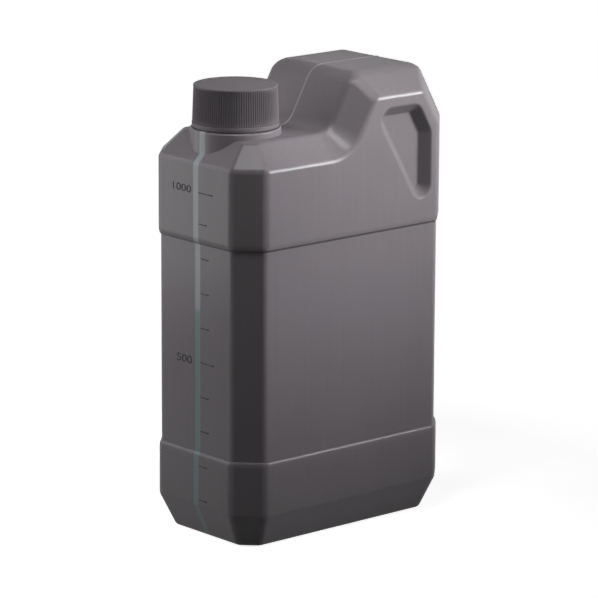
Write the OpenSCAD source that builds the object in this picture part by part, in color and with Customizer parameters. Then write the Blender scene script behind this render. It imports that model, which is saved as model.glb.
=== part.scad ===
// Flat one-litre plastic can: a blow-moulded bottle with a saddle that carries the neck, a rear
// hump with a grip recess in each wide face, and a ribbed screw cap with a sealing disc.
// X runs from the narrow front face (neck) to the rear face (hump), Y across the thickness, Z up.
// The origin is the middle of the base. Lengths are in millimetres and angles in degrees.

/* [Can] */
// Length of the can, front face to rear face
can_length = 116.5; // [104:0.5:135]
// Thickness of the can across the wide faces
can_depth = 67.5; // [60:0.5:80]
// Height of the saddle that carries the neck
saddle_top = 170.4; // [162:0.2:178]
// Height of the hump above the saddle
hump_rise = 23.6; // [18:0.2:32]
// Wall of the blow-moulded can
wall = 1.2; // [0.8:0.1:1.6]
// Outer radius of the moulded edges
edge_radius = 3.4; // [2.4:0.1:4]
// Outer radius of the upright edges at the cut corners
corner_round = 5; // [3:0.1:6]
// Outer radius of the edges along the top of the saddle and the hump
slope_round = 5; // [3:0.1:6]
// Outer radius of the edge round the base
base_round = 1.6; // [1.2:0.1:3]
// How far each upright corner is cut back along both faces
corner_cut = 10.5; // [8:0.5:14]
// How far the edges of the saddle and the hump are cut back
top_cut = 10; // [8:0.5:12]

/* [Base and label panel] */
// Height of the sloping foot
foot_height = 14.6; // [10:0.2:20]
// How far the foot slopes in
foot_inset = 6.8; // [4:0.2:9]
// Depth of the hollow under the base
base_hollow = 1.5; // [0.8:0.1:2.4]
// Width of the rim that the can stands on
base_rim = 6; // [4:0.5:9]
// Height of the label panel's lower edge
panel_bottom = 37.8; // [30:0.2:48]
// Height of the label panel's upper edge
panel_top = 126.7; // [105:0.2:138]
// How far the label panel is set in
panel_inset = 1; // [0.6:0.1:2]
// Height of the rounded lip above and below the label panel
panel_lip = 3; // [2:0.2:5]

/* [Hump and grip] */
// Distance from the front face to the foot of the hump
hump_foot = 51.3; // [49:0.5:58]
// Lean of the hump's front, from upright
hump_lean = 29.4; // [20:0.2:36]
// Radius of the blend from the saddle up into the hump
hump_blend = 8.7; // [6:0.1:11]
// Radius of the hump's upper front and rear edges
hump_round = 8; // [5:0.1:9]
// Lean of the hump's rear slope, from upright
rear_lean = 29.4; // [20:0.2:36]
// Height of the hump's rear slope
rear_rise = 23.8; // [18:0.2:30]
// Depth of the grip recess
grip_depth = 4.2; // [2.5:0.1:6]
// Slope of the grip recess's side walls, from square
grip_draft = 45; // [20:1:50]
// Corner radius of the grip recess's floor
grip_round = 1.6; // [1:0.1:3]
// Width of the soft edge round the grip recess
grip_soft = 0.6; // [0.3:0.1:1]
// Distance from the rear face to the grip recess
grip_rear = 14.5; // [12:0.5:20]
// Distance from the hump's top down to the grip recess
grip_drop = 14.9; // [13:0.1:20]
// Width of the grip recess
grip_width = 28.7; // [24:0.1:34]
// Height of the grip recess, upper edge to lower tip
grip_height = 40.8; // [32:0.2:50]
// Height of the slanted stretch of the grip recess's rear side
grip_slant = 8; // [4:0.5:12]

/* [Neck] */
// Distance from the front face to the axis of the neck
neck_setback = 22.5; // [20.5:0.1:26]
// How far the collar under the cap stands out past the rim at the cap's top
collar_step = 1.5; // [1:0.1:2]
// Height of the collar above the saddle
collar_height = 2.7; // [2:0.1:5]
// Room for the thread between the neck and the cap's skirt
thread_gap = 1.4; // [1:0.1:2]
// Wall of the neck and the collar
neck_wall = 1.7; // [1.2:0.1:2.2]
// Radius of the upper edges of the collar and the neck
neck_edge = 0.6; // [0.3:0.1:0.8]

/* [Cap] */
// Height of the cap
cap_height = 17.4; // [14:0.2:24]
// Radius of the rim at the cap's top
cap_top_r = 17.5; // [14:0.1:19]
// How far the ribs stand out past the rim at their lower end
cap_taper = 0.45; // [0.2:0.05:0.8]
// How far the plain band at the cap's lower edge stands out past the ribs
band_step = 0.15; // [0.05:0.05:0.6]
// Height of the plain band
cap_band = 2; // [1.5:0.1:4]
// Wall of the cap's skirt at the rim
cap_wall = 1.5; // [1.2:0.1:2]
// Thickness of the cap's top
cap_plate = 1.6; // [1.4:0.1:2.4]
// Height of the plain rim round the cap's top
cap_rim = 0.8; // [0.6:0.1:2]
// Radius of the cap's edges
cap_edge = 0.4; // [0.3:0.05:0.5]
// Number of ribs round the cap
rib_count = 110; // [60:2:120]
// Radius of each rib
rib_r = 0.32; // [0.25:0.01:0.4]
// How far the ribs stand out of the cap's side
rib_depth = 0.35; // [0.2:0.05:0.5]
// How far the ribs stand back from the rim
rib_set = 0.1; // [0.05:0.05:0.2]
// Thickness of the sealing disc
seal_thickness = 1.6; // [1:0.1:2.2]
// Gap under the cap and round the sealing disc
cap_gap = 0.3; // [0.2:0.05:0.5]

/* [Hidden] */

can_colour = [0.36, 0.35, 0.36];
cap_colour = [0.31, 0.30, 0.31];
seal_colour = [0.86, 0.86, 0.83];

// Steps in each moulded arc, and facets of turned things, of the corners of hollows and of ribs
arc_steps = 3;
round_facets = 96;
corner_facets = 32;
rib_facets = 6;
// How far cutting shapes run past what they cut
overrun = 4;
// How far a face that mustn't cut stands outside the face that it runs along
skin = 0.02;
// Least radius of the hump's edges where they meet the wide faces, as a share of the full radius
round_share = 0.1;

corner_angle = 45;
quarter = 2 * corner_angle;
diagonal = sqrt(2);
front = -can_length / 2;
rear = can_length / 2;
side = can_depth / 2;
hump_top = saddle_top + hump_rise;
shoulder = saddle_top - top_cut;
edge_set = (diagonal - 1) * edge_radius;
slope_set = (diagonal - 1) * slope_round;

// Unit vector at an angle
function along(a) = [cos(a), sin(a)];

// Equal steps from one value to another
function steps(from, to, count = arc_steps) = [for (i = [0:count]) from + (to - from) * i / count];

// Points of an arc round a middle
function arc(middle, radius, from, to, count = arc_steps) =
    [for (t = steps(from, to, count)) middle + radius * along(t)];

// Distance from the middle of the plan to each of its eight sides, counted from the rear face
corner_reach = (rear + side - corner_cut) / diagonal;
function reach(k) = k % 2 == 1 ? corner_reach : k % 4 == 0 ? rear : side;

// Rounded corner between sides k and k + 1 of the plan, all sides moved in by an inset
function plan_corner(k, inset, radius) =
    let (a = k * corner_angle, near = reach(k) - inset - radius, far = reach(k + 1) - inset - radius)
    arc(near * along(a) + (far * diagonal - near) * along(a + quarter), radius, a, a + corner_angle);

// Closed solid through rings that have equally many points
module loft(rings) {
    count = len(rings[0]);
    last = len(rings) - 1;
    polyhedron(
        [for (ring = rings) each ring],
        [[for (i = [0:count - 1]) i],
         for (k = [0:last - 1], i = [0:count - 1])
             let (a = k * count + i, b = k * count + (i + 1) % count)
             [a, a + count, b + count, b],
         [for (i = [count - 1:-1:0]) last * count + i]]);
}

// Solid whose plan follows the can, from a profile of insets and heights
module plan_loft(profile, radius) {
    loft([for (p = profile) [for (k = [0:7], q = plan_corner(k, p[0], radius)) [q[0], q[1], p[1]]]]);
}

foot_lean = atan(foot_inset / foot_height);
foot_knee = foot_height * (1 + edge_radius * (1 / cos(foot_lean) - 1) / foot_inset);

// Point at a distance from both the base and the slope of the foot, as an inset and a height
function foot_point(d) = [foot_inset * (1 - d / foot_height) + d / cos(foot_lean), d];

// Foot, bands and label panel, straight up past the hump, with every face moved in by an inset
module walls(inset) {
    r = edge_radius - inset;
    base_r = max(base_round - inset, base_round * round_share);
    lip = panel_lip - inset;
    plan_loft([
        for (t = steps(quarter, foot_lean)) foot_point(inset + base_r) - base_r * along(t),
        for (t = steps(foot_lean, 0)) [edge_radius, foot_knee] - r * along(t),
        for (t = steps(0, quarter))
            [inset + panel_inset * (1 - cos(t)), panel_bottom - panel_lip + lip * sin(t)],
        for (t = steps(quarter, 0))
            [inset + panel_inset * (1 - cos(t)), panel_top + panel_lip - lip * sin(t)],
        [inset, hump_top + overrun]], corner_round - inset);
}

// Sideways move of a leaning edge's ends when its outline moves in by one
function mitre(lean) = (1 - sin(lean)) / cos(lean);

// Side view of the saddle, the hump and the rear face, moved in by a depth
function top_outline(depth) =
    let (blend_r = hump_blend + depth, round_r = max(hump_round - depth, hump_round * round_share))
    let (foot_x = front + hump_foot + depth * mitre(hump_lean), top_x = foot_x + hump_rise * tan(hump_lean))
    let (end_x = rear - rear_rise * tan(rear_lean) - depth * mitre(rear_lean))
    let (low = saddle_top - depth, high = hump_top - depth, rear_x = rear - depth + skin)
    let (knee_z = hump_top - rear_rise - depth * tan(rear_lean / 2))
    let (half_front = corner_angle - hump_lean / 2, half_rear = corner_angle - rear_lean / 2)
    let (blend_middle = [foot_x - blend_r * tan(half_front), low + blend_r])
    let (front_middle = [top_x + round_r * tan(half_front), high - round_r])
    let (rear_middle = [end_x - round_r * tan(half_rear), high - round_r])
    let (knee_middle = [rear_x - round_r, knee_z - round_r * tan(rear_lean / 2)])
    [[front - overrun, -overrun],
     [front - overrun, low],
     each arc(blend_middle, blend_r, -quarter, -hump_lean, 2 * arc_steps),
     each arc(front_middle, round_r, 2 * quarter - hump_lean, quarter),
     each arc(rear_middle, round_r, quarter, rear_lean),
     each arc(knee_middle, round_r, rear_lean, 0),
     [rear_x, -overrun]];

// Saddle and hump with their slanted edges, as side views along Y
module top_form(inset) {
    r = edge_radius - inset;
    slope_r = slope_round - inset;
    edge = [
        for (t = steps(0, corner_angle))
            [side - top_cut - slope_set + slope_r * sin(t), slope_round - slope_r * cos(t)],
        for (t = steps(corner_angle, quarter))
            [side - edge_radius + r * sin(t) + skin, top_cut + edge_set - r * cos(t)]];
    last = len(edge) - 1;
    loft([
        for (i = [last:-1:0]) [for (q = top_outline(edge[i][1])) [q[0], -edge[i][0], q[1]]],
        for (i = [0:last]) [for (q = top_outline(edge[i][1])) [q[0], edge[i][0], q[1]]]]);
}

// Plan open to the rear, with the front side and the two front corners moved in by an inset
function front_plan(inset, radius, z) =
    let (wide = side + overrun, x = wide - diagonal * (reach(3) - inset))
    [[rear + overrun, -wide, z],
     [rear + overrun, wide, z],
     [x, wide, z],
     for (k = [3, 4], q = plan_corner(k, inset, radius)) [q[0], q[1], z],
     [x, -wide, z]];

// Front shoulder: the slopes over the front face and over the two front corners
module front_form(inset) {
    r = edge_radius - inset;
    bend = [for (t = steps(0, corner_angle))
        [edge_radius - skin - r * cos(t), shoulder - edge_set + r * sin(t)]];
    corner_r = corner_round - inset;
    climb = top_cut + overrun;
    inner = bend[arc_steps][0] + climb;
    loft([
        front_plan(bend[0][0], corner_r, -overrun),
        for (b = bend) front_plan(b[0], corner_r, b[1]),
        front_plan(inner, corner_r, bend[arc_steps][1] + climb),
        front_plan(inner, corner_r, hump_top + overrun)]);
}

// Hollow under the base with sloping sides and round corners, grown by an inset
module base_form(inset) {
    deep = base_hollow + inset;
    back = foot_inset + base_rim + corner_cut;
    low_r = corner_cut + overrun + inset * diagonal;
    hull()
        for (x = [-1, 1] * (rear - back), y = [-1, 1] * max(side - back, 0))
            translate([x, y, -overrun])
                cylinder(h = deep + overrun, r1 = low_r, r2 = low_r - deep - overrun, $fn = corner_facets);
}

grip_x = rear - grip_rear;
grip_z = hump_top - grip_drop;
grip_r = grip_round + grip_depth * tan(grip_draft);

// Middles of the grip recess's four corners, in X and Z
grip_corners = [
    [grip_x - grip_width + grip_r, grip_z - grip_r],
    [grip_x - grip_r - grip_slant * tan(rear_lean), grip_z - grip_r],
    [grip_x - grip_r, grip_z - grip_r - grip_slant],
    [grip_x - grip_r, grip_z - grip_height + grip_r]];

// Cones on the grip recess's corners, from a depth under the wide face out past it
module grip_stage(deep, radius, draft) {
    run = deep + overrun;
    wide = radius + run * tan(draft);
    hull()
        for (c = grip_corners)
            translate([c[0], side - deep, c[1]])
                rotate([-quarter, 0, 0])
                    cylinder(h = run, r1 = radius, r2 = wide, $fn = corner_facets);
}

// Grip recess in both wide faces, grown by an inset
module grip_form(inset) {
    soft = grip_soft + inset;
    floor_r = grip_round + inset * mitre(grip_draft);
    mouth_r = floor_r + (grip_depth - grip_soft) * tan(grip_draft);
    for (m = [0, 1])
        mirror([0, m, 0]) {
            grip_stage(grip_depth + inset, floor_r, grip_draft);
            grip_stage(soft, mouth_r, (quarter + grip_draft) / 2);
        }
}

// The can's outside moved in by an inset
module can_form(inset) {
    difference() {
        intersection() {
            walls(inset);
            top_form(inset);
            front_form(inset);
        }
        base_form(inset);
        grip_form(inset);
    }
}

cap_low_r = cap_top_r + cap_taper;
cap_band_r = cap_low_r + band_step;
band_edge = min(cap_edge, band_step + rib_depth - skin);
cap_bore_r = cap_top_r - cap_wall;
neck_r = cap_bore_r - thread_gap;
collar_r = cap_top_r + collar_step;
neck_x = front + neck_setback;
collar_top = saddle_top + collar_height;
cap_bottom = collar_top + cap_gap;
cap_top = cap_bottom + cap_height;
neck_top = cap_top - cap_plate - seal_thickness;
bore_r = neck_r - neck_wall;

// Solid turned about the neck's axis from a profile of radii and heights
module turned(profile) {
    translate([neck_x, 0, 0]) rotate_extrude($fn = round_facets) polygon(profile);
}

module neck_solid() {
    turned([
        [0, shoulder],
        [collar_r, shoulder],
        each arc([collar_r - neck_edge, collar_top - neck_edge], neck_edge, 0, quarter),
        [neck_r, collar_top],
        each arc([neck_r - neck_edge, neck_top - neck_edge], neck_edge, 0, quarter),
        [0, neck_top]]);
}

module neck_hollow() {
    turned([
        [0, shoulder - overrun],
        [collar_r - neck_wall, shoulder - overrun],
        [collar_r - neck_wall, collar_top - neck_wall],
        [bore_r, collar_top - neck_wall],
        [bore_r, neck_top + overrun],
        [0, neck_top + overrun]]);
}

// Hollow can, open at the neck
module can_body() {
    color(can_colour)
        difference() {
            union() {
                can_form(0);
                neck_solid();
            }
            can_form(wall);
            neck_hollow();
        }
}

band_top = cap_bottom + cap_band;
rim_bottom = cap_top - cap_rim;
rib_bottom = band_top - cap_edge;
rib_top = cap_top - cap_edge;
rib_top_r = cap_top_r - rib_set;

// Round bars that lean in with the cap's taper, from inside the plain band up into the rim
module ribs() {
    for (i = [0:rib_count - 1])
        translate([neck_x, 0, 0])
            rotate([0, 0, 4 * quarter * i / rib_count])
                hull() {
                    translate([cap_low_r - rib_r, 0, rib_bottom])
                        cylinder(h = skin, r = rib_r, $fn = rib_facets);
                    translate([rib_top_r - rib_r, 0, rib_top - skin])
                        cylinder(h = skin, r = rib_r, $fn = rib_facets);
                }
}

module screw_cap() {
    color(cap_colour)
        difference() {
            union() {
                ribs();
                turned([
                    [0, cap_bottom],
                    [cap_band_r, cap_bottom],
                    each arc([cap_band_r - band_edge, band_top - band_edge], band_edge, 0, quarter),
                    [cap_low_r - rib_depth, band_top],
                    [rib_top_r - rib_depth, rim_bottom],
                    [cap_top_r, rim_bottom],
                    each arc([cap_top_r - cap_edge, cap_top - cap_edge], cap_edge, 0, quarter),
                    [0, cap_top]]);
            }
            turned([
                [0, cap_bottom - overrun],
                [cap_bore_r, cap_bottom - overrun],
                [cap_bore_r, cap_top - cap_plate],
                [0, cap_top - cap_plate]]);
        }
}

// Sealing disc between the neck's rim and the cap
module seal_disc() {
    color(seal_colour)
        translate([neck_x, 0, neck_top])
            cylinder(h = seal_thickness, r = cap_bore_r - cap_gap, $fn = round_facets);
}

can_body();
screw_cap();
seal_disc();
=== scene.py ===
# %% [markdown]
# # A flat plastic can
# This lesson dresses a one-litre blow-moulded can. The construction comes packed as a fixed frame, and
# every piece made here is laid over it, at the same place and size, and rides on one of its bodies.
# Lengths below are in millimetres, as a maker would write them, and become metres when a mesh is made.
# The faces keep a little inside the frame's box, so that the seam and the marks, which stand proud,
# end at it.

# %% Load the frame
import math

import bmesh
import bpy
from mathutils import Matrix, Vector


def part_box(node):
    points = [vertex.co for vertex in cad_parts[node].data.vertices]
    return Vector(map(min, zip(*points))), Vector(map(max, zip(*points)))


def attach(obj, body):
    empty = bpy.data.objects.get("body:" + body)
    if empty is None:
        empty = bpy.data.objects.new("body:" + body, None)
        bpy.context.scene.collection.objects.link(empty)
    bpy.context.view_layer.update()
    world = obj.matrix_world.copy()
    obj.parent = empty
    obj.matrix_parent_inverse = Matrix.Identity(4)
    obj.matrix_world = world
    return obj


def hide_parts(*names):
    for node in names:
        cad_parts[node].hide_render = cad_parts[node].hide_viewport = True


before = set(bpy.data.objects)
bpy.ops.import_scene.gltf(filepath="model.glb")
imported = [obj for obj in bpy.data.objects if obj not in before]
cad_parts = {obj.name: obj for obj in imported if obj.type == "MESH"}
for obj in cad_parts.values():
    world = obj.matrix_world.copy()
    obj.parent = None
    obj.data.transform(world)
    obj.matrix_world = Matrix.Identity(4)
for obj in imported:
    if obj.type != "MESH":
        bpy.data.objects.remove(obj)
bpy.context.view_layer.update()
MM = 0.001
low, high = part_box("can_body")
PROUD = 0.13
half_length = (high.x - low.x) / 2 / MM - PROUD
half_depth = (high.y - low.y) / 2 / MM
hump_top = high.z / MM - PROUD
cap_low, cap_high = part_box("screw_cap")
neck_x = (cap_low.x + cap_high.x) / 2 / MM
cap_bottom, cap_top = cap_low.z / MM, cap_high.z / MM
seal_low, seal_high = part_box("seal_disc")
neck_top, plate_under = seal_low.z / MM, seal_high.z / MM
print("can", 2 * half_length, 2 * half_depth, hump_top, "neck axis at x", round(neck_x, 2))

# %% [markdown]
# ## Camera
# The photograph was taken with a long lens from a little above the saddle, off the corner between the narrow
# front face and a wide face. A long lens keeps upright edges nearly parallel, so the distance is large.

# %% Camera
CAMERA_AZIMUTH, CAMERA_ELEVATION, CAMERA_ROLL = -41.18, 13.33, 0.28
CAMERA_DISTANCE = 1654.7
CAMERA_TARGET = Vector((-0.26, 0.22, 94.23))
IMAGE_PIXELS, FOCAL_PIXELS, SENSOR_WIDTH = 598, 3910, 36


def view_axes(azimuth, elevation):
    """Right, up and back of a camera that looks at the can from an azimuth and an elevation in degrees."""
    a, e = math.radians(azimuth), math.radians(elevation)
    back = Vector((math.sin(a) * math.cos(e), -math.cos(a) * math.cos(e), math.sin(e)))
    right = Vector((math.cos(a), math.sin(a), 0))
    return right, back.cross(right), back


right, up, back = view_axes(CAMERA_AZIMUTH, CAMERA_ELEVATION)
roll = math.radians(CAMERA_ROLL)
tilted_right = right * math.cos(roll) + up * math.sin(roll)
tilted_up = up * math.cos(roll) - right * math.sin(roll)
place = (CAMERA_TARGET + back * CAMERA_DISTANCE) * MM
camera_data = bpy.data.cameras.new("camera")
camera_data.sensor_width = SENSOR_WIDTH
camera_data.lens = SENSOR_WIDTH * FOCAL_PIXELS / IMAGE_PIXELS
camera = bpy.data.objects.new("camera", camera_data)
camera.matrix_world = Matrix((tilted_right, tilted_up, back)).transposed().to_4x4()
camera.matrix_world.translation = place
bpy.context.scene.collection.objects.link(camera)
bpy.context.scene.camera = camera
print("lens", round(camera_data.lens, 1), "mm")

# %% [markdown]
# ## Tools for meshes
# A moulded can is mostly flat faces with soft edges, so it is made as a sharp form first and softened after.
# Three small helpers are enough: one joins rings of points to a closed solid, one applies a boolean and
# throws the cutting solid away, and one turns a profile about the neck.

# %% Mesh helpers
def link(name, bm):
    """A new object from a bmesh, with all its faces turned outwards."""
    bmesh.ops.recalc_face_normals(bm, faces=bm.faces)
    mesh = bpy.data.meshes.new(name)
    bm.to_mesh(mesh)
    bm.free()
    piece = bpy.data.objects.new(name, mesh)
    bpy.context.scene.collection.objects.link(piece)
    return piece


def add_loft(bm, rings, closed=False):
    """Adds a solid through rings of equally many points, capped at both ends or closed on itself."""
    rows = [[bm.verts.new(p) for p in ring] for ring in rings]
    count = len(rows[0])
    pairs = list(zip(rows, rows[1:]))
    if closed:
        pairs.append((rows[-1], rows[0]))
    for lower, upper in pairs:
        for i in range(count):
            j = (i + 1) % count
            bm.faces.new((lower[i], lower[j], upper[j], upper[i]))
    if not closed:
        bm.faces.new(rows[0])
        bm.faces.new(rows[-1])


def loft(name, rings, closed=False):
    """A new object from one such solid."""
    bm = bmesh.new()
    add_loft(bm, rings, closed)
    return link(name, bm)


def settle(piece):
    """Applies a piece's modifiers to its mesh."""
    bpy.context.view_layer.update()
    graph = bpy.context.evaluated_depsgraph_get()
    mesh = bpy.data.meshes.new_from_object(piece.evaluated_get(graph))
    piece.modifiers.clear()
    old, piece.data = piece.data, mesh
    bpy.data.meshes.remove(old)


def carve(piece, tool, operation):
    """Joins, cuts or intersects a piece with a tool, which is then deleted."""
    step = piece.modifiers.new("carve", "BOOLEAN")
    step.operation, step.solver, step.object = operation, "EXACT", tool
    settle(piece)
    bpy.data.objects.remove(tool)


def along(angle):
    """Unit vector at an angle in degrees, as two numbers."""
    return math.cos(math.radians(angle)), math.sin(math.radians(angle))


def arc(x, z, radius, start, end, count):
    """Points of an arc round (x, z), from one angle to another."""
    turns = [along(start + (end - start) * i / count) for i in range(count + 1)]
    return [(x + radius * c, z + radius * s) for c, s in turns]


TURN_STEPS = 160


def turned(name, profile):
    """A profile of radii and heights turned about the neck's axis."""
    rings = [[(neck_x + r * c, r * s, z) for r, z in profile]
             for c, s in (along(360 * i / TURN_STEPS) for i in range(TURN_STEPS))]
    return loft(name, rings, closed=True)


# %% [markdown]
# ## The can's sharp form
# The can is the space that three simple solids share: upright walls with an eight-sided plan, a side view
# with the saddle and the hump whose edges are cut at 45 degrees, and the sloping front shoulder.
# The same solids moved in by the wall's thickness later give the hollow inside.

# %% Sharp form
CORNER_CUT, TOP_CUT = 10.5, 10.0
SADDLE_TOP = 170.4
FOOT_HEIGHT, FOOT_INSET = 14.6, 6.8
PANEL_BOTTOM, PANEL_TOP, PANEL_INSET, PANEL_LIP = 37.8, 126.7, 1.0, 3.0
HUMP_FOOT, HUMP_LEAN, HUMP_BLEND, HUMP_ROUND = 51.3, 29.4, 8.7, 9.0
REAR_LEAN, REAR_RISE = 29.4, 23.8
WALL, OVERRUN, FACE_GAP, SHORT_EDGE, FLAT_ANGLE = 1.2, 4.0, 0.01, 1.5, 0.3
DIAGONAL = math.sqrt(2)
LIP_STEPS, BLEND_STEPS = 8, 16
front = -half_length
shoulder = SADDLE_TOP - TOP_CUT
corner_reach = (half_length + half_depth - CORNER_CUT) / DIAGONAL
foot_lean = math.atan(FOOT_INSET / FOOT_HEIGHT)


def reach(k):
    """Distance from the can's axis to side k of its plan, counted from the rear face."""
    return corner_reach if k % 2 else (half_length, half_depth)[k // 2 % 2]


def plan_corner(k, inset):
    """Corner between sides k and k + 1 of the plan, all sides moved in by an inset."""
    near, far = reach(k) - inset, reach(k + 1) - inset
    c, s = along(45 * k)
    return near * c - (far * DIAGONAL - near) * s, near * s + (far * DIAGONAL - near) * c


def wall_profile(inset):
    """Insets and heights from the foot up past the hump, for a surface moved in by an inset."""
    shift = inset / math.cos(foot_lean)
    return [(FOOT_INSET * (1 - inset / FOOT_HEIGHT) + shift, inset),
            (inset, FOOT_HEIGHT * (1 + (shift - inset) / FOOT_INSET)),
            (inset, hump_top + OVERRUN)]


def walls(inset):
    rings = [[(*plan_corner(k, x), z) for k in range(8)] for x, z in wall_profile(inset)]
    return loft("walls", rings)


def mitre(lean):
    """Sideways move of a leaning edge's ends when its outline moves in by one."""
    return math.tan(math.radians(45 - lean / 2))


def top_outline(depth):
    """Side view of the saddle and the hump with sharp upper edges, moved in by a depth."""
    blend_r = HUMP_BLEND + depth
    foot_x = front + HUMP_FOOT + depth * mitre(HUMP_LEAN)
    top_x = foot_x + (hump_top - SADDLE_TOP) * math.tan(math.radians(HUMP_LEAN))
    slope = math.tan(math.radians(REAR_LEAN))
    end_x = half_length - REAR_RISE * slope - depth * mitre(REAR_LEAN)
    blend_x = foot_x - blend_r * mitre(HUMP_LEAN)
    floor_z, top_z, out_x = SADDLE_TOP - depth, hump_top - depth, half_length + OVERRUN
    return [(front - OVERRUN, -OVERRUN), (front - OVERRUN, floor_z),
            *arc(blend_x, floor_z + blend_r, blend_r, -90, -HUMP_LEAN, BLEND_STEPS),
            (top_x, top_z), (end_x, top_z), (out_x, top_z - (out_x - end_x) / slope), (out_x, -OVERRUN)]


def top_form(inset):
    edge = half_depth - TOP_CUT - inset * (DIAGONAL - 1)
    outer = half_depth + OVERRUN
    stations = [(edge, inset), (outer, inset + outer - edge)]
    sides = [(-y, d) for y, d in reversed(stations)] + stations
    return loft("top_form", [[(x, y, z) for x, z in top_outline(d)] for y, d in sides])


def front_form(inset):
    def ring(shift, z):
        wide = half_depth + 2 * OVERRUN
        x = wide - DIAGONAL * (reach(3) - shift)
        corners = [plan_corner(3, shift), plan_corner(4, shift)]
        out = half_length + OVERRUN
        return [(*p, z) for p in [(out, -wide), (out, wide), (x, wide), *corners, (x, -wide)]]

    shift, climb = inset * DIAGONAL, TOP_CUT + OVERRUN
    return loft("front_form", [
        ring(shift - OVERRUN, -OVERRUN), ring(shift - OVERRUN, shoulder - OVERRUN),
        ring(shift + climb, shoulder + climb), ring(shift + climb, hump_top + OVERRUN)])


def sharp_can(name, inset):
    piece = walls(inset)
    piece.name = name
    carve(piece, top_form(inset), "INTERSECT")
    carve(piece, front_form(inset), "INTERSECT")
    bm = bmesh.new()
    bm.from_mesh(piece.data)
    at_rear = [v for v in bm.verts if v.co.x > half_length - OVERRUN]
    bmesh.ops.remove_doubles(bm, verts=at_rear, dist=SHORT_EDGE)
    bmesh.ops.remove_doubles(bm, verts=bm.verts, dist=FACE_GAP)
    bmesh.ops.dissolve_limit(bm, angle_limit=math.radians(FLAT_ANGLE), verts=bm.verts, edges=bm.edges)
    bm.to_mesh(piece.data)
    bm.free()
    return piece


can = sharp_can("can_shell", 0)
print("sharp form:", len(can.data.polygons), "faces")

# %% [markdown]
# ## Soft edges
# Blown plastic can't reach into a sharp corner of its mould, so every outer edge is round. A bevel with a
# weight on each edge gives that: the weight is worked out from the angle between the two faces, so
# that edges of any angle get the radius they should have. The hump is the softest part of the can.

# %% Soft edges
EDGE_ROUND, BASE_ROUND, CORNER_ROUND, REAR_ROUND, SLOPE_ROUND = 3.4, 2.6, 5.0, 5.0, 8.0
SOFT_ANGLE, BEVEL_SEGMENTS = 15, 6


def edge_radius(edge):
    """The radius of a sharp edge: least at the base, most on the hump, upright corners in between."""
    middle = (edge.verts[0].co + edge.verts[1].co) / 2
    run = edge.verts[0].co - edge.verts[1].co
    if middle.z < FOOT_HEIGHT / 10:
        return BASE_ROUND
    if middle.x > 0 and middle.z > SADDLE_TOP - TOP_CUT / 2 and abs(run.y) > half_depth:
        return HUMP_ROUND if middle.x < half_length / 2 else REAR_ROUND
    if middle.z > SADDLE_TOP and abs(middle.y) < half_depth - TOP_CUT / 2:
        rise = min(1, (middle.z - SADDLE_TOP) / HUMP_BLEND)
        highest = SLOPE_ROUND if middle.x < half_length / 2 else REAR_ROUND
        return EDGE_ROUND + (highest - EDGE_ROUND) * rise
    if abs(run.z) > abs(run.x) + abs(run.y) and middle.z < shoulder:
        return CORNER_ROUND
    return EDGE_ROUND


def soften(piece, inset):
    """Rounds a form's outer edges; a form moved in by an inset gets radii smaller by as much."""
    bm = bmesh.new()
    bm.from_mesh(piece.data)
    weight_layer = bm.edges.layers.float.new("bevel_weight_edge")
    offsets = {}
    for edge in bm.edges:
        angle, radius = edge.calc_face_angle_signed(0), edge_radius(edge) - inset
        if angle > math.radians(SOFT_ANGLE) and radius > 0:
            offsets[edge] = radius * math.tan(angle / 2)
    widest = max(offsets.values())
    for edge, offset in offsets.items():
        edge[weight_layer] = offset / widest
    bm.to_mesh(piece.data)
    bm.free()
    bevel = piece.modifiers.new("soft_edges", "BEVEL")
    bevel.width, bevel.segments, bevel.limit_method = widest, BEVEL_SEGMENTS, "WEIGHT"
    bevel.use_clamp_overlap = False
    settle(piece)
    print(piece.name, len(offsets), "soft edges, widest", round(widest, 2), "mm")


soften(can, 0)

# %% [markdown]
# ## Label panel
# The panel runs all round the can between two lips that curve in and end in a crisp crease. A section of that
# belt, carried round the plan with its round corners, is a ring, and cutting with the ring sinks the panel.

# %% Label panel
def panel_cutter(inset):
    """A ring round the can whose inner side is the panel and its lips, moved in by an inset."""
    lip = PANEL_LIP - inset
    quarter = [along(90 * i / LIP_STEPS) for i in range(LIP_STEPS + 1)]
    sunk = [(inset + PANEL_INSET * (1 - c) - FACE_GAP * (s == 0), lip * s) for c, s in quarter]
    section = [(-OVERRUN, PANEL_BOTTOM - PANEL_LIP),
               *[(x, PANEL_BOTTOM - PANEL_LIP + z) for x, z in sunk],
               *[(x, PANEL_TOP + PANEL_LIP - z) for x, z in reversed(sunk)],
               (-OVERRUN, PANEL_TOP + PANEL_LIP)]
    rings = []
    for k in range(8):
        middle = plan_corner(k, CORNER_ROUND)
        for i in range(BEVEL_SEGMENTS + 1):
            c, s = along(45 * (k + i / BEVEL_SEGMENTS))
            rings.append([(middle[0] + (CORNER_ROUND - x) * c, middle[1] + (CORNER_ROUND - x) * s, z)
                          for x, z in section])
    return loft("panel_cutter", rings, closed=True)


carve(can, panel_cutter(0), "DIFFERENCE")
print("with label panel:", len(can.data.polygons), "faces")

# %% [markdown]
# ## Grip recess and base hollow
# The thumb and fingers press into a recess on each wide face. Its outline is four round corners, and its
# depth is a profile: a flat floor, a 45 degree wall and a soft mouth. Lofting the outline through that
# profile gives a cutter. The hollow under the base, which lets the can stand on a rim, is made the same way.

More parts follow.
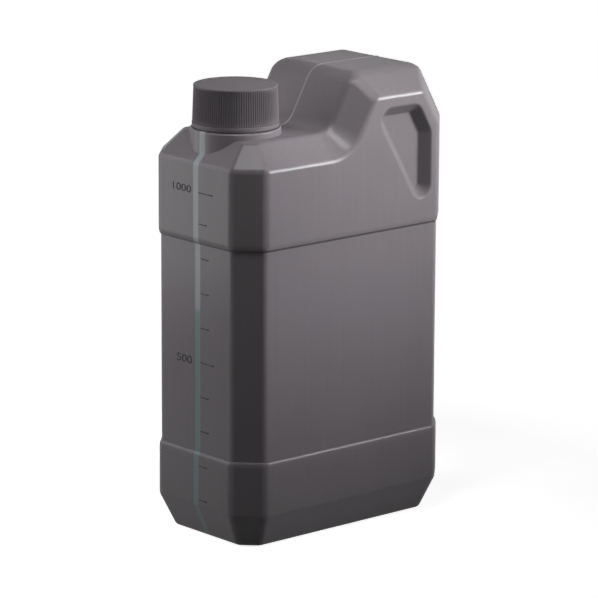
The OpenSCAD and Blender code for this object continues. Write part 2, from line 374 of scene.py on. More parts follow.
# %% Grip recess and base hollow
GRIP_DEPTH, GRIP_ROUND, GRIP_REAR, GRIP_DROP = 4.2, 1.6, 14.5, 14.9
GRIP_WIDTH, GRIP_HEIGHT, GRIP_SLANT = 28.7, 40.8, 8.0
GRIP_MOUTH, GRIP_FLOOR = 1.6, 1.5
BASE_HOLLOW, BASE_RIM = 1.5, 6.0
CORNER_STEPS, FLOOR_STEPS, MOUTH_STEPS = 10, 4, 5
grip_r = GRIP_ROUND + GRIP_DEPTH
grip_x, grip_z = half_length - GRIP_REAR, hump_top - GRIP_DROP
grip_corners = [
    (grip_x - GRIP_WIDTH + grip_r, grip_z - grip_r),
    (grip_x - grip_r - GRIP_SLANT * math.tan(math.radians(REAR_LEAN)), grip_z - grip_r),
    (grip_x - grip_r, grip_z - grip_r - GRIP_SLANT),
    (grip_x - grip_r, grip_z - GRIP_HEIGHT + grip_r)]


def rounded(corners, radius):
    """Outline round clockwise corners, with the same radius at each."""
    count, points = len(corners), []
    for i, (x, z) in enumerate(corners):
        before, after = corners[i - 1], corners[(i + 1) % count]
        start = math.degrees(math.atan2(z - before[1], x - before[0])) + 90
        end = math.degrees(math.atan2(after[1] - z, after[0] - x)) + 90
        points += arc(x, z, radius, start, start - (start - end) % 360, CORNER_STEPS)
    return points


def grip_profile(inset):
    """Depths under the wide face and corner radii, from the floor out past the soft mouth."""
    floor_t, mouth_t = GRIP_FLOOR * math.tan(math.pi / 8), GRIP_MOUTH * math.tan(math.pi / 8)
    floor_arc = arc(GRIP_DEPTH - GRIP_FLOOR, GRIP_ROUND - floor_t, GRIP_FLOOR, 0, 45, FLOOR_STEPS)
    mouth_arc = arc(GRIP_MOUTH - FACE_GAP, grip_r + mouth_t, GRIP_MOUTH, 225, 180, MOUTH_STEPS)
    moved = [(d + inset, r + inset * (DIAGONAL - 1)) for d, r in floor_arc + mouth_arc]
    return moved + [(-OVERRUN, grip_r + mouth_t + inset)]


def grip_cutter(side, inset):
    rings = [[(x, side * (half_depth - d), z) for x, z in rounded(grip_corners, r)]
             for d, r in grip_profile(inset)]
    return loft("grip_cutter", rings)


def base_cutter(inset):
    deep, reach_back = BASE_HOLLOW + inset, FOOT_INSET + BASE_RIM + CORNER_CUT
    x, y = half_length - reach_back, half_depth - reach_back
    corners = [(-x, y), (x, y), (x, -y), (-x, -y)]
    soft = BASE_HOLLOW / 2
    grown = CORNER_CUT + inset * DIAGONAL
    profile = [(-OVERRUN, grown + soft), (0, grown + soft), (soft, grown), (deep, grown - deep / 2)]
    return loft("base_cutter", [[(px, py, z) for px, py in rounded(corners, r)] for z, r in profile])


for side in (-1, 1):
    carve(can, grip_cutter(side, 0), "DIFFERENCE")
carve(can, base_cutter(0), "DIFFERENCE")
print("with recesses:", len(can.data.polygons), "faces")

# %% [markdown]
# ## Mould seam
# The two halves of the mould meet in the middle of the can. They leave a fine raised line over the hump and
# down the rear, and a thicker welded seam under the base, where the hot tube was pinched shut. A path with
# an arc at each corner follows the can's side view, and a small ridge runs along it, sunk into the wall.

# %% Mould seam
SEAM_HEIGHT, SEAM_WIDTH, SEAM_SINK, SEAM_STEPS = 0.125, 0.6, 0.45, 10
SEAM_START, SEAM_END_SHARE = 17, 0.2
PINCH_HEIGHT, PINCH_WIDTH, PINCH_LENGTH = 0.8, 1.2, 76


def rounded_path(corners):
    """Points in the XZ plane through corners (x, z, radius), with an arc where there is a radius."""
    path = []
    for i, (x, z, radius) in enumerate(corners):
        corner = Vector((x, z))
        if not radius:
            path.append(corner)
            continue
        before = (Vector(corners[i - 1][:2]) - corner).normalized()
        after = (Vector(corners[i + 1][:2]) - corner).normalized()
        half = before.angle(after) / 2
        middle = corner + (before + after).normalized() * radius / math.sin(half)
        ends = [corner + side * radius / math.tan(half) - middle for side in (before, after)]
        start, end = (math.degrees(math.atan2(e.y, e.x)) for e in ends)
        sweep = (end - start + 180) % 360 - 180
        path += [Vector(p) for p in arc(*middle, radius, start, start + sweep, SEAM_STEPS)]
    return path


def seam(path, height, width):
    """A ridge on the left of a path in the XZ plane."""
    section = [(-SEAM_SINK, -width / 2), (0, -width / 2), (height, -width / 5), (height, width / 5),
               (0, width / 2), (-SEAM_SINK, width / 2)]
    rings = []
    for i, point in enumerate(path):
        step = path[min(i + 1, len(path) - 1)] - path[max(i - 1, 0)]
        out = Vector((-step.y, step.x)).normalized()
        rings.append([(point.x + out.x * n, y, point.y + out.y * n) for n, y in section])
    return loft("seam", rings)


hump_foot_x = front + HUMP_FOOT
hump_front_x = hump_foot_x + (hump_top - SADDLE_TOP) * math.tan(math.radians(HUMP_LEAN))
hump_rear_x = half_length - REAR_RISE * math.tan(math.radians(REAR_LEAN))
panel_x = half_length - PANEL_INSET
seam_paths = [
    [(neck_x + SEAM_START, SADDLE_TOP, 0), (hump_foot_x, SADDLE_TOP, HUMP_BLEND),
     (hump_front_x, hump_top, HUMP_ROUND), (hump_rear_x, hump_top, REAR_ROUND),
     (half_length, hump_top - REAR_RISE, REAR_ROUND),
     (half_length, PANEL_TOP + PANEL_LIP + SEAM_WIDTH, 0)],
    [(panel_x, PANEL_TOP - SEAM_WIDTH, 0), (panel_x, PANEL_BOTTOM + SEAM_WIDTH, 0)],
    [(half_length, PANEL_BOTTOM - PANEL_LIP - SEAM_WIDTH, 0), (half_length, FOOT_HEIGHT, EDGE_ROUND),
     (half_length - FOOT_INSET * (1 - SEAM_END_SHARE), FOOT_HEIGHT * SEAM_END_SHARE, 0)]]
for corners in seam_paths:
    carve(can, seam(rounded_path(corners), SEAM_HEIGHT, SEAM_WIDTH), "UNION")
pinch_path = [Vector((x, BASE_HOLLOW)) for x in (PINCH_LENGTH / 2, 0, -PINCH_LENGTH / 2)]
carve(can, seam(pinch_path, PINCH_HEIGHT, PINCH_WIDTH), "UNION")
print("with seams:", len(can.data.polygons), "faces")

# %% [markdown]
# ## Neck, thread and hollow
# The neck stands on a round collar. Its thread is a ridge with sloping flanks that winds up about two turns
# and fades at both ends, as a moulded thread does. Last, the hollow inside is cut with the moved-in form.

# %% Neck, thread and hollow
COLLAR_R, COLLAR_HEIGHT, NECK_R, NECK_WALL = 19.0, 2.7, 14.6, 1.7
COLLAR_EDGE, NECK_EDGE, COLLAR_STEPS, NECK_STEPS = 0.8, 0.6, 5, 4
THREAD_PITCH, THREAD_TURNS, THREAD_DEPTH, THREAD_FOOT, THREAD_CREST = 4.2, 2.1, 0.95, 1.7, 0.7
THREAD_STEPS, THREAD_FADE, THREAD_SINK = 72, 0.12, 0.2
NECK_START_SHARE, CAP_START_SHARE = 0.7, 1.2
collar_top = SADDLE_TOP + COLLAR_HEIGHT


def thread(name, root_r, depth, start_z):
    """A helical ridge on a round wall; a positive depth stands out of the wall, a negative one into it."""
    count = int(THREAD_TURNS * THREAD_STEPS)
    sunk = math.copysign(THREAD_SINK, -depth)
    rings = []
    for i in range(count + 1):
        turn = i / THREAD_STEPS
        fade = min(1, turn / THREAD_FADE, (THREAD_TURNS - turn) / THREAD_FADE)
        c, s = along(360 * turn)
        z = start_z + turn * THREAD_PITCH
        crest = root_r + sunk / 2 + (depth - sunk / 2) * fade
        section = [(root_r + sunk, -THREAD_FOOT / 2), (crest, -THREAD_CREST / 2),
                   (crest, THREAD_CREST / 2), (root_r + sunk, THREAD_FOOT / 2)]
        rings.append([(neck_x + r * c, r * s, z + dz) for r, dz in section])
    return loft(name, rings)


bore_r = NECK_R - NECK_WALL
neck = turned("neck", [
    (bore_r, shoulder), (COLLAR_R, shoulder),
    *arc(COLLAR_R - COLLAR_EDGE, collar_top - COLLAR_EDGE, COLLAR_EDGE, 0, 90, COLLAR_STEPS),
    (NECK_R, collar_top),
    *arc(NECK_R - NECK_EDGE, neck_top - NECK_EDGE, NECK_EDGE, 0, 90, NECK_STEPS),
    (bore_r, neck_top)])
neck_start = collar_top + THREAD_PITCH * NECK_START_SHARE
carve(neck, thread("neck_thread", NECK_R, THREAD_DEPTH, neck_start), "UNION")
carve(can, neck, "UNION")
hollow = sharp_can("hollow", WALL)
soften(hollow, WALL)
carve(hollow, panel_cutter(WALL), "DIFFERENCE")
for side in (-1, 1):
    carve(hollow, grip_cutter(side, WALL), "DIFFERENCE")
carve(hollow, base_cutter(WALL), "DIFFERENCE")
carve(can, hollow, "DIFFERENCE")


def plug(name, radius, bottom, top):
    """A short solid cylinder on the neck's axis."""
    ring = [along(360 * i / TURN_STEPS) for i in range(TURN_STEPS)]
    return loft(name, [[(neck_x + radius * c, radius * s, z) for c, s in ring] for z in (bottom, top)])


collar_bore = plug("collar_bore", COLLAR_R - NECK_WALL, shoulder - OVERRUN, collar_top - NECK_WALL)
carve(can, collar_bore, "DIFFERENCE")
carve(can, plug("neck_bore", bore_r, shoulder, neck_top + OVERRUN), "DIFFERENCE")
print("can with neck and hollow:", len(can.data.polygons), "faces")

# %% [markdown]
# ## Shading of the can
# The mesh is in millimetres up to here, and is scaled to metres once. Smooth shading would bulge the
# large flat faces, so normals are weighted by area: flats stay flat and only the soft edges turn.

# %% Shading helper
CREASE_ANGLE, FLAT_WEIGHT = 32, 100


def finish_mesh(piece):
    """Scales a mesh to metres and shades it smooth, with flat faces kept flat."""
    piece.data.transform(Matrix.Scale(MM, 4))
    piece.data.shade_smooth()
    piece.data.set_sharp_from_angle(angle=math.radians(CREASE_ANGLE))
    weighted = piece.modifiers.new("flat_faces", "WEIGHTED_NORMAL")
    weighted.keep_sharp, weighted.weight = True, FLAT_WEIGHT


finish_mesh(can)
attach(can, "can")
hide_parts("can_body")

# %% [markdown]
# ## Level marks
# Beside the clear stripe stand fine lines, one for each 100 ml, with a dot at the end, and plain numbers at
# the half litre and the litre. They are thin raised bars; the numbers come from a text object turned to
# mesh.

# %% Level marks
MARK_LOW, MARK_STEP, MARK_COUNT = 2.69, 14.732, 10
MARK_START, MARK_SHORT, MARK_LONG = -2.95, 4.8, 8.4
MARK_RAISE, MARK_SINK, MARK_WIDTH, DOT_R, DOT_RAISE = 0.075, 0.1, 0.34, 0.42, 0.12
# By mark: the digits, where they begin and end across the face, how tall they are, and their lift.
NUMBERS = {5: ("500", 12.4, 2.6, 3.3, 0), 10: ("1000", 13.5, 1.8, 3.1, 0.7)}
DOT_STEPS, TOP_MARK_DROP, TEXT_DEPTH = 16, 1.6, 0.5


def face_x(z):
    """Where the narrow front face is at a height: further in on the label panel."""
    return front + (PANEL_INSET if PANEL_BOTTOM < z < PANEL_TOP else 0)


def mark_z(mark):
    """Height of a mark; the last one is a little lower than an even step."""
    return MARK_LOW + MARK_STEP * mark - (TOP_MARK_DROP if mark == MARK_COUNT else 0)


def bar_section(y, z, half):
    """A flat strip's section at a place along a line, with its foot sunk in the front face."""
    foot, edge, crest = face_x(z) + MARK_SINK, face_x(z) - MARK_RAISE / 2, face_x(z) - MARK_RAISE
    return [(foot, y, z - half), (edge, y, z - half), (crest, y, z - half / 2),
            (crest, y, z + half / 2), (edge, y, z + half), (foot, y, z + half)]


bm = bmesh.new()
for mark in range(1, MARK_COUNT + 1):
    z = mark_z(mark)
    end = MARK_START - (MARK_LONG if mark in NUMBERS else MARK_SHORT)
    add_loft(bm, [bar_section(y, z, MARK_WIDTH / 2) for y in (MARK_START, end)])
    dot = [along(360 * i / DOT_STEPS) for i in range(DOT_STEPS)]
    face = face_x(z)
    layers = [(face + MARK_SINK, DOT_R), (face - MARK_RAISE, DOT_R), (face - DOT_RAISE, DOT_R / 2)]
    add_loft(bm, [[(x, end + r * c, z + r * s) for c, s in dot] for x, r in layers])
for mark, (digits, left, right_end, tall, lift) in NUMBERS.items():
    text = bpy.data.curves.new("digits", "FONT")
    text.body, text.extrude = digits, TEXT_DEPTH
    words = bpy.data.objects.new("digits", text)
    bpy.context.scene.collection.objects.link(words)
    bpy.context.view_layer.update()
    mesh = bpy.data.meshes.new_from_object(words.evaluated_get(bpy.context.evaluated_depsgraph_get()))
    bpy.data.objects.remove(words)
    xs, ys = [v.co.x for v in mesh.vertices], [v.co.y for v in mesh.vertices]
    z = mark_z(mark) + lift
    across, upward = (left - right_end) / (max(xs) - min(xs)), tall / (max(ys) - min(ys))
    for v in mesh.vertices:
        raised = MARK_RAISE if v.co.z > 0 else -MARK_SINK
        v.co = (face_x(z) - raised, left - (v.co.x - min(xs)) * across,
                z - tall / 2 + (v.co.y - min(ys)) * upward)
    bm.from_mesh(mesh)
    bpy.data.meshes.remove(mesh)
marks = link("level_marks", bm)
marks.data.transform(Matrix.Scale(MM, 4))
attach(marks, "can")
print("level marks:", len(marks.data.polygons), "faces")

# %% [markdown]
# ## Screw cap
# The cap is turned, with a plain band below, a ring of fine ribs for the fingers and a plain rim above. The
# ribs are a wave round the cap, so its side is made as one grid whose radius follows that wave.

# %% Screw cap
CAP_TOP_R, CAP_LOW_R, CAP_BAND_R, CAP_BORE_R = 17.5, 17.95, 18.1, 16.0
CAP_BAND, CAP_RIM, CAP_CHAMFER = 2.0, 0.6, 0.2
BAND_EDGE, RIM_EDGE, BAND_STEPS, RIM_STEPS = 0.4, 0.35, 4, 5
BORE_LEAD, BORE_LEAD_HEIGHT = 0.3, 0.4
RIB_COUNT, RIB_DEPTH, RIB_STEPS, RIB_ROWS, RIB_POWER = 110, 0.42, 10, 12, 1.4
RIB_END_SHARE, RIB_SETBACK, RIB_CLEAR_LOW, RIB_CLEAR_HIGH = 0.2, 0.1, 0.25, 0.1
band_top, rim_bottom = cap_bottom + CAP_BAND, cap_top - CAP_RIM


def cap_profile():
    """Radius, height and depth of the ribs, from the bore's lower edge round the outside to the top."""
    rib_low, rib_high = band_top + RIB_CLEAR_LOW, rim_bottom - RIB_CLEAR_HIGH
    rib_top_r = CAP_TOP_R - RIB_SETBACK
    side = []
    for i in range(RIB_ROWS + 1):
        z = rib_low + (rib_high - rib_low) * i / RIB_ROWS
        share = (z - band_top) / (rim_bottom - band_top)
        ends = min(1, RIB_END_SHARE + i, RIB_END_SHARE + (RIB_ROWS - i))
        side.append((CAP_LOW_R + (rib_top_r - CAP_LOW_R) * share, z, RIB_DEPTH * ends))
    band = arc(CAP_BAND_R - BAND_EDGE, band_top - BAND_EDGE, BAND_EDGE, 0, 90, BAND_STEPS)
    rim = arc(CAP_TOP_R - RIM_EDGE, cap_top - RIM_EDGE, RIM_EDGE, 0, 90, RIM_STEPS)
    return [(CAP_BORE_R + BORE_LEAD, cap_bottom, 0), (CAP_BAND_R - CAP_CHAMFER, cap_bottom, 0),
            (CAP_BAND_R, cap_bottom + CAP_CHAMFER, 0), *[(r, z, 0) for r, z in band],
            (CAP_LOW_R - RIB_DEPTH, band_top, 0), *side,
            (rib_top_r - RIB_DEPTH, rim_bottom, 0), (CAP_TOP_R, rim_bottom, 0),
            *[(r, z, 0) for r, z in rim]]


def rib_wave(step):
    """How deep the groove is at a step round the cap, from 0 on a rib's crest to 1 between two ribs."""
    return (0.5 - 0.5 * math.cos(2 * math.pi * step / RIB_STEPS)) ** RIB_POWER


outside = cap_profile()
inside = [(CAP_BORE_R, plate_under), (CAP_BORE_R, cap_bottom + BORE_LEAD_HEIGHT)]
count = RIB_COUNT * RIB_STEPS
bm = bmesh.new()
columns = []
for i in range(count):
    c, s = along(360 * i / count)
    wave = rib_wave(i % RIB_STEPS)
    radii = [(r - depth * wave, z) for r, z, depth in outside]
    columns.append([bm.verts.new((neck_x + r * c, r * s, z)) for r, z in radii])
inner = []
for i in range(count):
    c, s = along(360 * i / count)
    inner.append([bm.verts.new((neck_x + r * c, r * s, z)) for r, z in inside])
for i in range(count):
    j = (i + 1) % count
    for k in range(len(outside) - 1):
        bm.faces.new((columns[i][k], columns[j][k], columns[j][k + 1], columns[i][k + 1]))
    bm.faces.new((inner[i][0], inner[j][0], inner[j][1], inner[i][1]))
    bm.faces.new((inner[i][1], inner[j][1], columns[j][0], columns[i][0]))
bm.faces.new([column[-1] for column in columns])
bm.faces.new([column[0] for column in inner])
cap = link("cap_shell", bm)
cap_start = collar_top + THREAD_PITCH * CAP_START_SHARE
carve(cap, thread("cap_thread", CAP_BORE_R, -THREAD_DEPTH, cap_start), "UNION")
finish_mesh(cap)
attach(cap, "cap")
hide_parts("screw_cap")
print("cap:", len(cap.data.polygons), "faces")

# %% [markdown]
# ## Sealing disc
# A punched foam disc lies in the cap. Its underside has a shallow dimple in the middle, and the neck's rim
# bears on the flat round it. A turned profile can't reach the axis, so a pinhole is left there.

# %% Sealing disc
SEAL_R, SEAL_EDGE, SEAL_STEPS, PINHOLE_R = 15.7, 0.25, 3, 0.05
DIMPLE_R, DIMPLE_EDGE, DIMPLE_DEPTH = 6, 0.4, 0.12
dimple_z = neck_top + DIMPLE_DEPTH
seal = turned("seal_liner", [
    (PINHOLE_R, dimple_z), (DIMPLE_R, dimple_z), (DIMPLE_R + DIMPLE_EDGE, neck_top),
    *arc(SEAL_R - SEAL_EDGE, neck_top + SEAL_EDGE, SEAL_EDGE, -90, 0, SEAL_STEPS),
    *arc(SEAL_R - SEAL_EDGE, plate_under - SEAL_EDGE, SEAL_EDGE, 0, 90, SEAL_STEPS),
    (PINHOLE_R, plate_under)])
finish_mesh(seal)
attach(seal, "seal")
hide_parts("seal_disc")
print("seal:", len(seal.data.polygons), "faces")

# %% [markdown]
# ## Colours and nodes
# Colours are written as sRGB hex values, the way a colour card or a photograph gives them, and one function
# turns them to the linear values that shaders work in. One more function adds a node with its links. Sockets
# that share a name go by number: a Mix node takes its factor at 0 and its colours at 6 and 7, and a Map Range
# node its value at 0, the old range at 1 and 2 and the new one at 3 and 4.

# %% Colour and node helpers
PLASTIC_IOR = 1.54


def colour(code):
    """Linear RGBA from an sRGB hex code."""
    values = [int(code[i:i + 2], 16) / 255 for i in (1, 3, 5)]
    return (*[v / 12.92 if v <= 0.04045 else ((v + 0.055) / 1.055) ** 2.4 for v in values], 1)


def add(tree, kind, inputs=None, **settings):
    """A new node: settings by name, and inputs as values or as other nodes' outputs."""
    node = tree.nodes.new(kind)
    for name, value in settings.items():
        setattr(node, name, value)
    for name, value in (inputs or {}).items():
        if isinstance(value, bpy.types.NodeSocket):
            tree.links.new(value, node.inputs[name])
        else:
            node.inputs[name].default_value = value
    return node


def new_material(name):
    material = bpy.data.materials.new(name)
    material.use_nodes = True
    return material, material.node_tree, material.node_tree.nodes["Principled BSDF"]


def waxy(shader, weight, roughness):
    """Gloss of a waxy plastic: a thin coat on a matt ground, weaker at a glance than bare plastic."""
    shader.inputs["IOR"].default_value = PLASTIC_IOR
    shader.inputs["Specular IOR Level"].default_value = 0
    shader.inputs["Coat Weight"].default_value = weight
    shader.inputs["Coat Roughness"].default_value = roughness


# %% [markdown]
# ## Blown polyethylene
# The can is high-density polyethylene, coloured grey in the mass and blown against a sand-blasted mould.
# That gives a satin skin: a soft wide highlight, a fine grain, and faint upright streaks where the hot tube
# was drawn. The real grain is too fine to show here, so it is drawn at half a millimetre.
# A narrow stripe of the same plastic without colour runs down the front, so that the level can be read.
# Two lines are painted on: a paler one along the mould seam, and painted shade, a darker band, in the
# panel's upper crease. Form and lamps alone show both too weakly here, and both depend on the place on
# the can, so they hold in every view.

# %% Blown polyethylene
CAN_GREY, CAN_GREY_PALE = "#696468", "#6C676B"
STRIPE_DRY, STRIPE_WET = "#8A9092", "#6C7C80"
GRAIN_SIZE, STREAK_SIZE, STREAK_LENGTH, CLOUD_SIZE = 0.5, 1.6, 60, 26
STRIPE_MIDDLE, STRIPE_WIDTH, STRIPE_SOFT = -1.25, 3.3, 0.35
LIQUID_LEVEL, LEVEL_SOFT = 98.4, 1.5
SEAM_WHITE, SEAM_MIX = "#A8A3A7", 0.6
CREASE_PAINTED_SHADE, CREASE_SHADE_MIX, CREASE_RISE, CREASE_WIDTH = "#2E2A2D", 0.6, 0.3, 1.3
CAN_GLOSS, CAN_GLOSS_ROUGH, SATIN_LOW, SATIN_HIGH = 0.34, 0.27, 0.4, 0.5
GRAIN_STRENGTH, GRAIN_DEPTH = 0.15, 0.04
MOTTLE_LOW, MOTTLE_HIGH, NOISE_LOW, NOISE_HIGH = 0.7, 1.3, 0.3, 0.7

polyethylene, tree, shader = new_material("blown_polyethylene")
here = add(tree, "ShaderNodeTexCoord").outputs["Object"]
axis = add(tree, "ShaderNodeSeparateXYZ", {0: here})
streak_scale = (1 / (STREAK_SIZE * MM), 1 / (STREAK_SIZE * MM), 1 / (STREAK_LENGTH * MM))
drawn = add(tree, "ShaderNodeVectorMath", {0: here, 1: streak_scale}, operation="MULTIPLY")
streaks = add(tree, "ShaderNodeTexNoise", {"Vector": drawn.outputs[0], "Scale": 1, "Detail": 2})
clouds = add(tree, "ShaderNodeTexNoise", {"Vector": here, "Scale": 1 / (CLOUD_SIZE * MM), "Detail": 3})
grain = add(tree, "ShaderNodeTexNoise", {"Vector": here, "Scale": 1 / (GRAIN_SIZE * MM), "Detail": 3})
mottle = add(tree, "ShaderNodeMath", {0: streaks.outputs[0], 1: clouds.outputs[0]}, operation="ADD")
tone = add(tree, "ShaderNodeMapRange", {0: mottle.outputs[0], 1: MOTTLE_LOW, 2: MOTTLE_HIGH})
grey = add(tree, "ShaderNodeMix", {0: tone.outputs[0], 6: colour(CAN_GREY), 7: colour(CAN_GREY_PALE)},
           data_type="RGBA")
aside = add(tree, "ShaderNodeMath", {0: axis.outputs["Y"], 1: -STRIPE_MIDDLE * MM}, operation="ADD")
distance = add(tree, "ShaderNodeMath", {0: aside.outputs[0]}, operation="ABSOLUTE")
edge_in, edge_out = (STRIPE_WIDTH - STRIPE_SOFT) / 2 * MM, (STRIPE_WIDTH + STRIPE_SOFT) / 2 * MM
in_stripe = add(tree, "ShaderNodeMapRange", {0: distance.outputs[0], 1: edge_in, 2: edge_out, 3: 1, 4: 0})
at_front = add(tree, "ShaderNodeMath", {0: axis.outputs["X"], 1: neck_x * MM}, operation="LESS_THAN")
stripe = add(tree, "ShaderNodeMath", {0: in_stripe.outputs[0], 1: at_front.outputs[0]}, operation="MULTIPLY")
wet = add(tree, "ShaderNodeMapRange", {0: axis.outputs["Z"], 1: (LIQUID_LEVEL - LEVEL_SOFT) * MM,
                                       2: (LIQUID_LEVEL + LEVEL_SOFT) * MM})
clear = add(tree, "ShaderNodeMix", {0: wet.outputs[0], 6: colour(STRIPE_WET), 7: colour(STRIPE_DRY)},
            data_type="RGBA")
striped = add(tree, "ShaderNodeMix", {0: stripe.outputs[0], 6: grey.outputs[2], 7: clear.outputs[2]},
              data_type="RGBA")
from_middle = add(tree, "ShaderNodeMath", {0: axis.outputs["Y"]}, operation="ABSOLUTE")
near_seam = add(tree, "ShaderNodeMapRange", {0: from_middle.outputs[0], 1: SEAM_WIDTH / 4 * MM,
                                             2: SEAM_WIDTH * MM, 3: SEAM_MIX, 4: 0})
behind_neck = add(tree, "ShaderNodeMath", {0: axis.outputs["X"], 1: (neck_x + COLLAR_R) * MM},
                  operation="GREATER_THAN")
seamed = add(tree, "ShaderNodeMath", {0: near_seam.outputs[0], 1: behind_neck.outputs[0]},
             operation="MULTIPLY")
pale = add(tree, "ShaderNodeMix", {0: seamed.outputs[0], 6: striped.outputs[2], 7: colour(SEAM_WHITE)},
           data_type="RGBA")
# Painted shade: the colour turns darker in a narrow band along the panel's upper crease.
over_crease = add(tree, "ShaderNodeMath", {0: axis.outputs["Z"], 1: -(PANEL_TOP + CREASE_RISE) * MM},
                  operation="ADD")
from_crease = add(tree, "ShaderNodeMath", {0: over_crease.outputs[0]}, operation="ABSOLUTE")
crease_shade = add(tree, "ShaderNodeMapRange", {0: from_crease.outputs[0], 1: CREASE_WIDTH / 4 * MM,
                                           2: CREASE_WIDTH / 2 * MM, 3: CREASE_SHADE_MIX, 4: 0})
skin = add(tree, "ShaderNodeMix", {0: crease_shade.outputs[0], 6: pale.outputs[2], 7: colour(CREASE_PAINTED_SHADE)},
           data_type="RGBA")
satin = add(tree, "ShaderNodeMapRange", {0: grain.outputs[0], 1: NOISE_LOW, 2: NOISE_HIGH,
                                         3: SATIN_LOW, 4: SATIN_HIGH})
height = add(tree, "ShaderNodeMath", {0: streaks.outputs[0], 1: grain.outputs[0]}, operation="ADD")
bump = add(tree, "ShaderNodeBump", {"Strength": GRAIN_STRENGTH, "Distance": GRAIN_DEPTH * MM,
                                    "Height": height.outputs[0]})
tree.links.new(skin.outputs[2], shader.inputs["Base Color"])
tree.links.new(satin.outputs[0], shader.inputs["Roughness"])
tree.links.new(bump.outputs[0], shader.inputs["Normal"])
tree.links.new(bump.outputs[0], shader.inputs["Coat Normal"])
waxy(shader, CAN_GLOSS, CAN_GLOSS_ROUGH)
can.data.materials.clear()
can.data.materials.append(polyethylene)

# %% [markdown]
# ## Moulded polypropylene and foam
# The cap is injection-moulded polypropylene, a little darker and smoother than the can. The liner is white
# polyethylene foam, dull and finely pitted.

# %% Cap and liner finishes
CAP_GREY, CAP_GREY_PALE = "#5E595D", "#676266"
FOAM_WHITE, FOAM_SHADE = "#DEDED6", "#CFCFC6"
MARK_DARK, MARK_DARK_PALE = "#454044", "#4C474B"
CAP_GRAIN, FOAM_CELL, ROUGH_SPAN, PIT_STRENGTH = 0.35, 0.3, 0.04, 0.2


def mottled(name, dark, pale, size, roughness, depth, gloss):
    """A plastic whose colour and roughness vary a little with a fine noise of one size in millimetres."""
    material, tree, shader = new_material(name)
    here = add(tree, "ShaderNodeTexCoord").outputs["Object"]
    noise = add(tree, "ShaderNodeTexNoise", {"Vector": here, "Scale": 1 / (size * MM), "Detail": 3})
    mix = add(tree, "ShaderNodeMix", {0: noise.outputs[0], 6: colour(dark), 7: colour(pale)},
              data_type="RGBA")
    rough = add(tree, "ShaderNodeMapRange", {0: noise.outputs[0], 1: NOISE_LOW, 2: NOISE_HIGH,
                                             3: roughness - ROUGH_SPAN, 4: roughness + ROUGH_SPAN})
    bump = add(tree, "ShaderNodeBump", {"Strength": PIT_STRENGTH, "Distance": depth * MM,
                                        "Height": noise.outputs[0]})
    tree.links.new(mix.outputs[2], shader.inputs["Base Color"])
    tree.links.new(rough.outputs[0], shader.inputs["Roughness"])
    tree.links.new(bump.outputs[0], shader.inputs["Normal"])
    tree.links.new(bump.outputs[0], shader.inputs["Coat Normal"])
    waxy(shader, gloss, roughness)
    return material


# A satin grey with a fine grain, a little smoother than the can.
polypropylene = mottled("moulded_polypropylene", CAP_GREY, CAP_GREY_PALE, CAP_GRAIN,
                        roughness=0.3, depth=0.03, gloss=0.14)
# A dull, pitted white.
foam = mottled("polyethylene_foam", FOAM_SHADE, FOAM_WHITE, FOAM_CELL, roughness=0.75, depth=0.08, gloss=0.1)
# A dark grey on the raised marks, darker than the can.
mark_grey = mottled("dark_mark_grey", MARK_DARK, MARK_DARK_PALE, CAP_GRAIN, roughness=0.6, depth=0.02, gloss=0.1)
for piece, material in ((cap, polypropylene), (seal, foam), (marks, mark_grey)):
    piece.data.materials.clear()
    piece.data.materials.append(material)

# %% [markdown]
# ## Studio
# The can stands on a pale floor. Lamps at about 45 degrees light the wide face from the right and the front
# from the left, so the corner between them, which faces the camera, stays dark. A grid keeps the right ones
# on the upper half, so that the wide face fades downwards. Two lamps above lift the slopes, and a small one
# draws bright edges.

# %% Studio
scene = bpy.context.scene
scene.view_settings.view_transform = "Standard"


def soft_lamp(name, place, target, size, power, spread=180):
    """A square area lamp in millimetres and watts; a grid in front of it narrows its spread, in degrees."""
    data = bpy.data.lights.new(name, "AREA")
    data.shape, data.size, data.energy = "SQUARE", size * MM, power
    data.spread = math.radians(spread)
    lamp = bpy.data.objects.new(name, data)
    lamp.location = Vector(place) * MM
    aim = Vector(target) - Vector(place)
    lamp.rotation_euler = aim.to_track_quat("-Z", "Y").to_euler()
    scene.collection.objects.link(lamp)


# Each lamp has a place, a target, a size and a power, and some a grid's spread.
soft_lamp("right_lamp", (330, -330, 260), (20, -20, 184), 190, 0.27, 43)
soft_lamp("right_front_lamp", (290, -380, 320), (0, -20, 178), 150, 0.08, 50)
soft_lamp("edge_lamp", (170, -230, 270), (10, 0, 165), 35, 0.03)
soft_lamp("left_lamp", (-200, 150, 175), (-50, 0, 155), 240, 0.48)
soft_lamp("top_lamp", (-100, -80, 420), (-40, 0, 170), 80, 0.27)
soft_lamp("front_top_lamp", (-20, -140, 380), (-15, -20, 170), 60, 0.009, 30)

# %% [markdown]
# ## Floor and background
# A white sheet has to look white to the camera without throwing that much light up at the can. A light path
# node tells what a ray is for: seen straight, mirrored or through glass, the sheet and the world glow white;
# for the light that lands on the can they are dim. Near the can the glow is lower, so that its shadow stays.

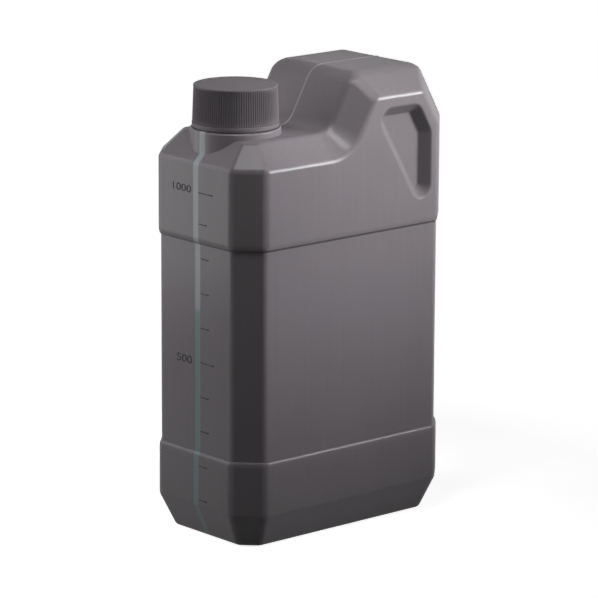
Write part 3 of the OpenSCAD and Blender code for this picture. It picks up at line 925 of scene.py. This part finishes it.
# %% Floor and background
FLOOR_SIZE, SHADOW_REACH = 8000, 320
SHADOW_GLOW, WORLD_FILL, CARD_ROUGH = 0.8, 0.01, 0.9
CARD_DIM, CARD_SEEN = "#303030", "#F0F0F0"


def seen_ray(tree):
    """1 for rays that show the background: straight from the camera, mirrored or through glass."""
    ray = add(tree, "ShaderNodeLightPath").outputs
    either = add(tree, "ShaderNodeMath", {0: ray["Is Camera Ray"], 1: ray["Is Glossy Ray"]},
                 operation="MAXIMUM")
    return add(tree, "ShaderNodeMath", {0: either.outputs[0], 1: ray["Is Transmission Ray"]},
               operation="MAXIMUM").outputs[0]


bm = bmesh.new()
bmesh.ops.create_grid(bm, x_segments=1, y_segments=1, size=FLOOR_SIZE / 2 * MM)
floor = link("floor", bm)
sheet, tree, shader = new_material("white_card")
shader.inputs["Roughness"].default_value = CARD_ROUGH
shader.inputs["Specular IOR Level"].default_value = 0
shader.inputs["Emission Color"].default_value = (1, 1, 1, 1)
card = add(tree, "ShaderNodeMix", {0: seen_ray(tree), 6: colour(CARD_DIM), 7: colour(CARD_SEEN)},
           data_type="RGBA")
tree.links.new(card.outputs[2], shader.inputs["Base Color"])
here = add(tree, "ShaderNodeTexCoord").outputs["Object"]
away = add(tree, "ShaderNodeVectorMath", {0: here}, operation="LENGTH").outputs["Value"]
glow = add(tree, "ShaderNodeMapRange", {0: away, 1: SHADOW_REACH * MM / 2, 2: SHADOW_REACH * MM,
                                        3: SHADOW_GLOW, 4: 1})
lit = add(tree, "ShaderNodeMath", {0: glow.outputs[0], 1: seen_ray(tree)}, operation="MULTIPLY")
tree.links.new(lit.outputs[0], shader.inputs["Emission Strength"])
floor.data.materials.append(sheet)

world = bpy.data.worlds.new("studio")
scene.world = world
world.use_nodes = True
sky = world.node_tree.nodes["Background"]
strength = add(world.node_tree, "ShaderNodeMapRange", {0: seen_ray(world.node_tree), 3: WORLD_FILL, 4: 1})
world.node_tree.links.new(strength.outputs[0], sky.inputs["Strength"])
sky.inputs["Color"].default_value = (1, 1, 1, 1)
